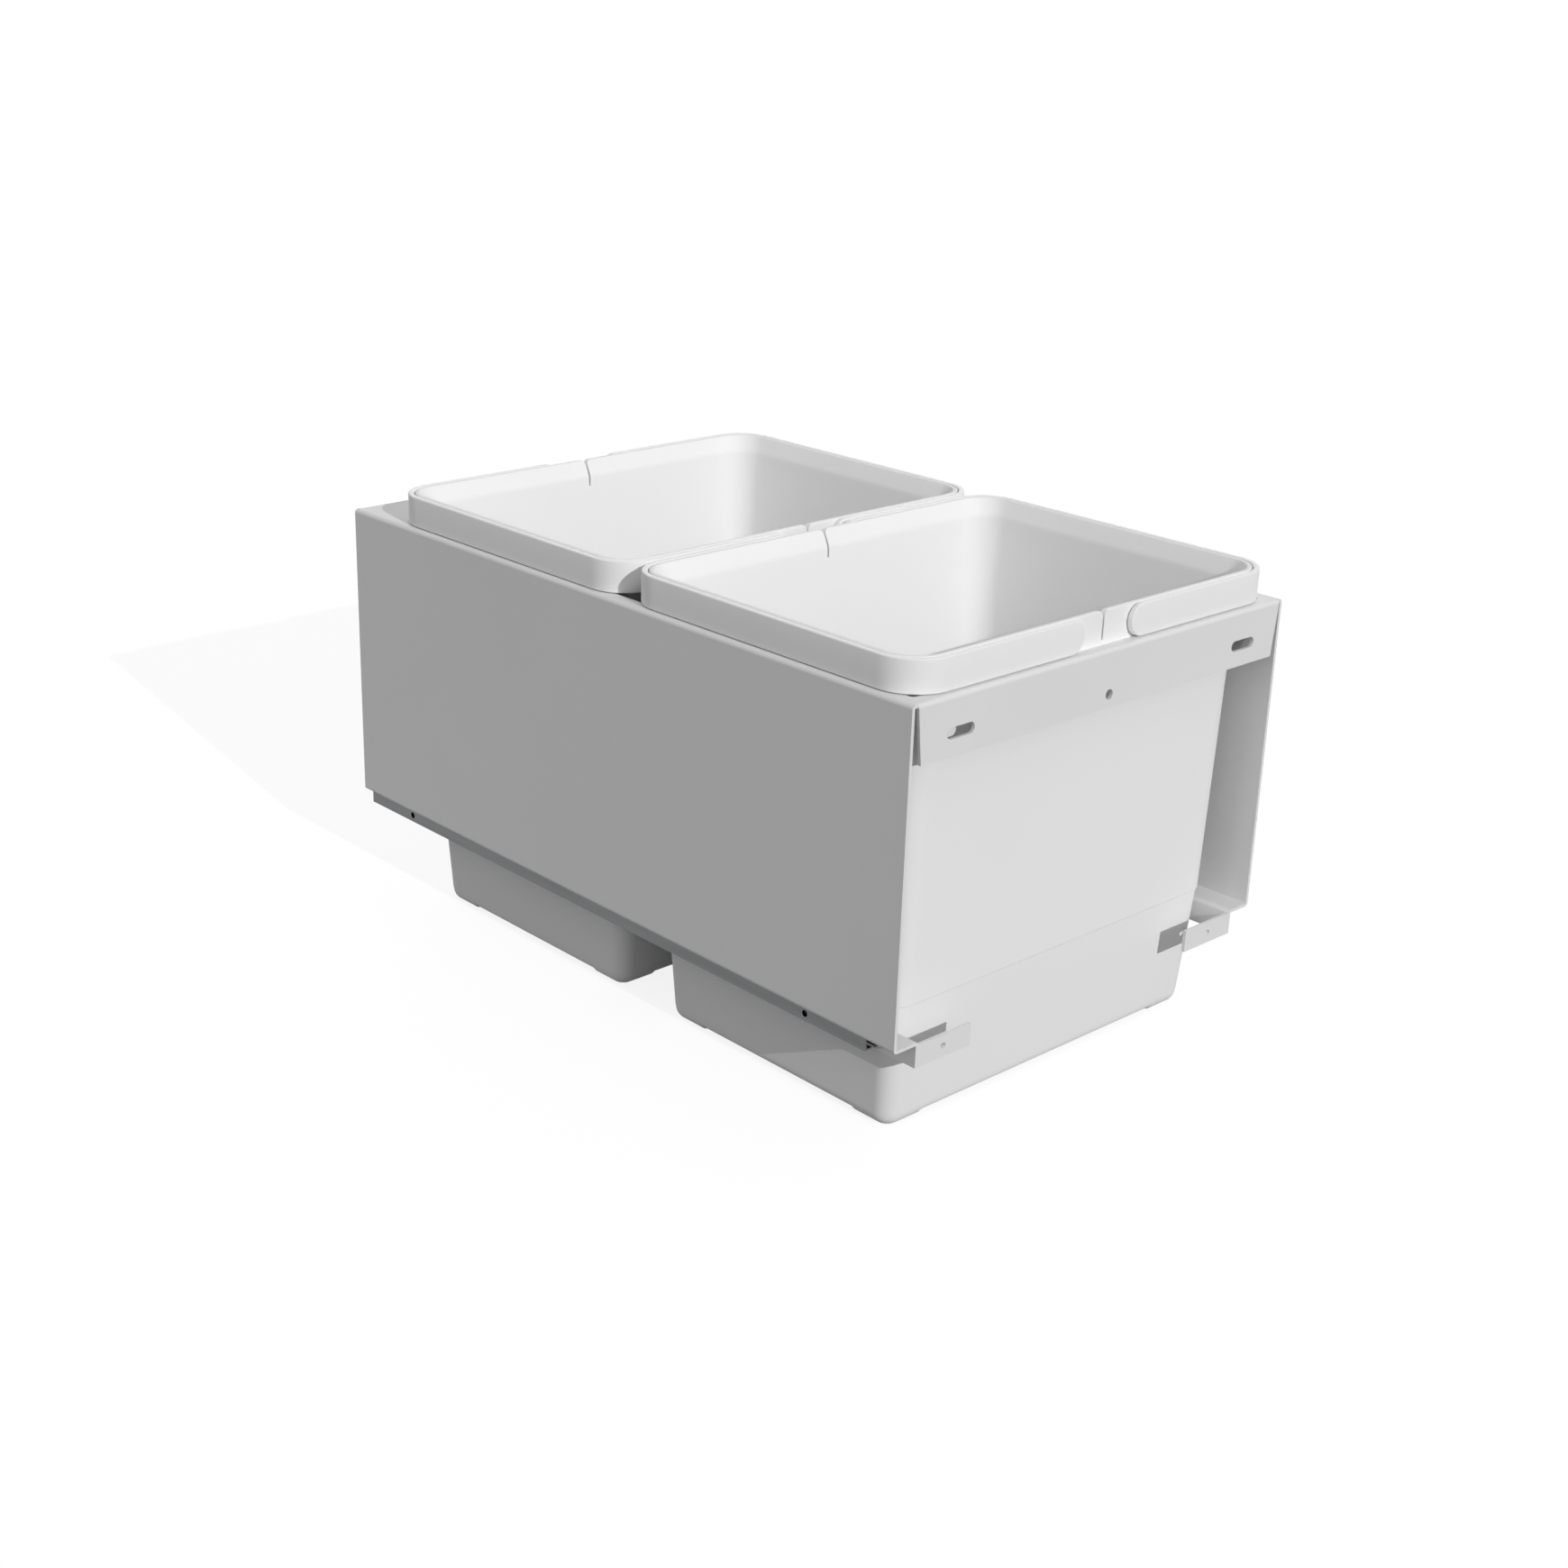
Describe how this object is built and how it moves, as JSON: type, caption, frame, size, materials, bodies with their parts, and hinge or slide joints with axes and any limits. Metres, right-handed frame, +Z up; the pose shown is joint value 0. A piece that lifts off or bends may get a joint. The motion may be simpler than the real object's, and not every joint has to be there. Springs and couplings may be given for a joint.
{
  "type": "pull-out waste bin carrier",
  "caption": "White folded-steel frame that slides out of a base cabinet on ball runners and holds two lift-out rectangular bins with swing-up hoop handles.",
  "frame": {"origin": "midway between the sides and midway front to back of the frame, at the level of the bins' feet", "axes": "+X to the right seen from the front, -Y to the front, the way the carrier pulls out, +Z up"},
  "size_m": [0.314, 0.51, 0.2848],
  "materials": {
    "white_powder_coat": "satin powder coat",
    "white_bin_plastic": "fine matt moulding",
    "white_handle_plastic": "smooth satin moulding",
    "zinc_plated_steel": "rolled and zinc plated",
    "ball_steel": "polished",
    "cage_plastic": "smooth",
    "buffer_rubber": "matt",
    "rivet_aluminium": "satin"
  },
  "bodies": {
    "cabinet_rails": {"cabinet_rail_left": "zinc_plated_steel", "cabinet_rail_right": "zinc_plated_steel", "rear_buffer_left": "buffer_rubber", "rear_buffer_right": "buffer_rubber"},
    "carrier": {"frame": "white_powder_coat", "drawer_rail_left": "zinc_plated_steel", "front_buffer_left": "buffer_rubber", "rail_rivets_left": "rivet_aluminium", "drawer_rail_right": "zinc_plated_steel", "front_buffer_right": "buffer_rubber", "rail_rivets_right": "rivet_aluminium"},
    "front_bin": {"front_bin": "white_bin_plastic"},
    "rear_bin": {"rear_bin": "white_bin_plastic"},
    "middle_rail_left": {"middle_rail_left": "zinc_plated_steel"},
    "outer_cage_left": {"outer_cage_left": "cage_plastic", "outer_balls_left": "ball_steel"},
    "inner_cage_left": {"inner_cage_left": "cage_plastic", "inner_balls_left": "ball_steel"},
    "front_bin_left_hoop": {"front_bin_left_hoop": "white_handle_plastic"},
    "rear_bin_left_hoop": {"rear_bin_left_hoop": "white_handle_plastic"},
    "middle_rail_right": {"middle_rail_right": "zinc_plated_steel"},
    "outer_cage_right": {"outer_cage_right": "cage_plastic", "outer_balls_right": "ball_steel"},
    "inner_cage_right": {"inner_cage_right": "cage_plastic", "inner_balls_right": "ball_steel"},
    "front_bin_right_hoop": {"front_bin_right_hoop": "white_handle_plastic"},
    "rear_bin_right_hoop": {"rear_bin_right_hoop": "white_handle_plastic"}
  },
  "joints": [
    {"name": "pull_out", "type": "slide", "parent": "cabinet_rails", "child": "carrier", "axis": [0, -1, 0], "range_m": [0, 0.44]},
    {"name": "middle_rail_left_travel", "type": "slide", "parent": "cabinet_rails", "child": "middle_rail_left", "axis": [0, -1, 0], "range_m": [0, 0.22]},
    {"name": "outer_cage_left_travel", "type": "slide", "parent": "cabinet_rails", "child": "outer_cage_left", "axis": [0, -1, 0], "range_m": [0, 0.11]},
    {"name": "inner_cage_left_travel", "type": "slide", "parent": "cabinet_rails", "child": "inner_cage_left", "axis": [0, -1, 0], "range_m": [0, 0.33]},
    {"name": "middle_rail_right_travel", "type": "slide", "parent": "cabinet_rails", "child": "middle_rail_right", "axis": [0, -1, 0], "range_m": [0, 0.22]},
    {"name": "outer_cage_right_travel", "type": "slide", "parent": "cabinet_rails", "child": "outer_cage_right", "axis": [0, -1, 0], "range_m": [0, 0.11]},
    {"name": "inner_cage_right_travel", "type": "slide", "parent": "cabinet_rails", "child": "inner_cage_right", "axis": [0, -1, 0], "range_m": [0, 0.33]},
    {"name": "front_bin_lift", "type": "slide", "parent": "carrier", "child": "front_bin", "axis": [0, 0, 1], "range_m": [0, 0.28]},
    {"name": "front_bin_left_hoop_swing", "type": "hinge", "parent": "front_bin", "child": "front_bin_left_hoop", "pos_m": [-0.0296, -0.1352, 0.2752], "axis": [0, 1, 0], "range_deg": [0, 97]},
    {"name": "front_bin_right_hoop_swing", "type": "hinge", "parent": "front_bin", "child": "front_bin_right_hoop", "pos_m": [0.0296, -0.1352, 0.2752], "axis": [0, -1, 0], "range_deg": [0, 97]},
    {"name": "rear_bin_lift", "type": "slide", "parent": "carrier", "child": "rear_bin", "axis": [0, 0, 1], "range_m": [0, 0.28]},
    {"name": "rear_bin_left_hoop_swing", "type": "hinge", "parent": "rear_bin", "child": "rear_bin_left_hoop", "pos_m": [-0.0296, 0.0988, 0.2752], "axis": [0, 1, 0], "range_deg": [0, 97]},
    {"name": "rear_bin_right_hoop_swing", "type": "hinge", "parent": "rear_bin", "child": "rear_bin_right_hoop", "pos_m": [0.0296, 0.0988, 0.2752], "axis": [0, -1, 0], "range_deg": [0, 97]}
  ],
  "couplings": [
    {"joint": "middle_rail_left_travel", "follows": "pull_out", "ratio": 0.5},
    {"joint": "outer_cage_left_travel", "follows": "pull_out", "ratio": 0.25},
    {"joint": "inner_cage_left_travel", "follows": "pull_out", "ratio": 0.75},
    {"joint": "middle_rail_right_travel", "follows": "pull_out", "ratio": 0.5},
    {"joint": "outer_cage_right_travel", "follows": "pull_out", "ratio": 0.25},
    {"joint": "inner_cage_right_travel", "follows": "pull_out", "ratio": 0.75}
  ]
}
